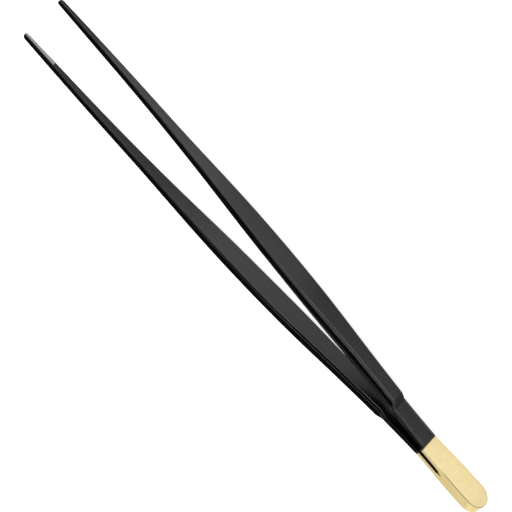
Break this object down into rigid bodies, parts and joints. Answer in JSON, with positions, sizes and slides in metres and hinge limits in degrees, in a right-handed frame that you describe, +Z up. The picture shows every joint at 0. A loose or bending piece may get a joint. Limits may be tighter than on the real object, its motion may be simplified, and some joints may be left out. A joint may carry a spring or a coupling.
{
  "type": "forceps",
  "caption": "Long spring forceps with two black-coated arms welded at a gold-plated heel, waisted spring necks and grey jaw inserts at the slim tips.",
  "frame": {"origin": "on the table under the middle of the forceps, which lie on their side; the box's bottom centre", "axes": "+Y along the forceps from the heel to the tips, X across the opening with the front arm on +X, +Z up, across the arms' width"},
  "size_m": [0.0284, 0.25, 0.0116],
  "materials": {
    "gold_plated_steel": "satin gold plate on steel",
    "black_coating": "matt black insulating coat",
    "hard_metal": "matt ground grey"
  },
  "bodies": {
    "root": {"front_arm": "gold_plated_steel", "rear_arm": "gold_plated_steel", "front_coating": "black_coating", "rear_coating": "black_coating", "front_jaw_insert": "hard_metal", "rear_jaw_insert": "hard_metal"}
  },
  "joints": []
}
